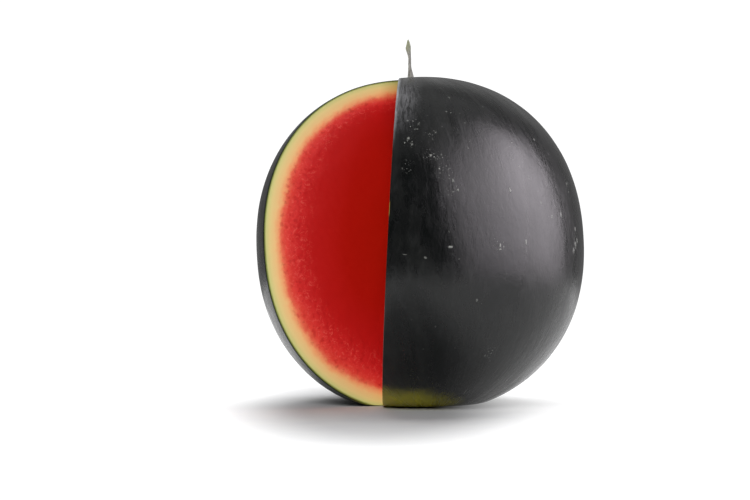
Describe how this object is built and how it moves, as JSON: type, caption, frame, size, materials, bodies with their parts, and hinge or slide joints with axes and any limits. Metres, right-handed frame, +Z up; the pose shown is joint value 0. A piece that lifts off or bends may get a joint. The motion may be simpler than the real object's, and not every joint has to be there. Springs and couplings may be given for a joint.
{
  "type": "watermelon",
  "caption": "Round dark-skinned watermelon with a wedge cut out from pole to pole, showing pale rind and red flesh, standing on a small flat spot with a short dried stem.",
  "frame": {"origin": "on the floor, on the flat spot the fruit rests on, straight below the middle of the fruit", "axes": "+Z up, along the fruit's height with the stem on top; -Y is the side the near cut edge faces; the missing wedge opens towards -X and -Y"},
  "size_m": [0.2196, 0.2204, 0.2444],
  "materials": {
    "skin": "waxy near-black green skin, satin, with faint dark stripes and small pale scuffs",
    "flesh": "wet grainy red flesh that pales through orange to a yellow-green rind at the skin",
    "stem": "dry fibrous grey-brown stalk"
  },
  "bodies": {
    "root": {"fruit": "skin", "stem": "stem"}
  },
  "joints": []
}
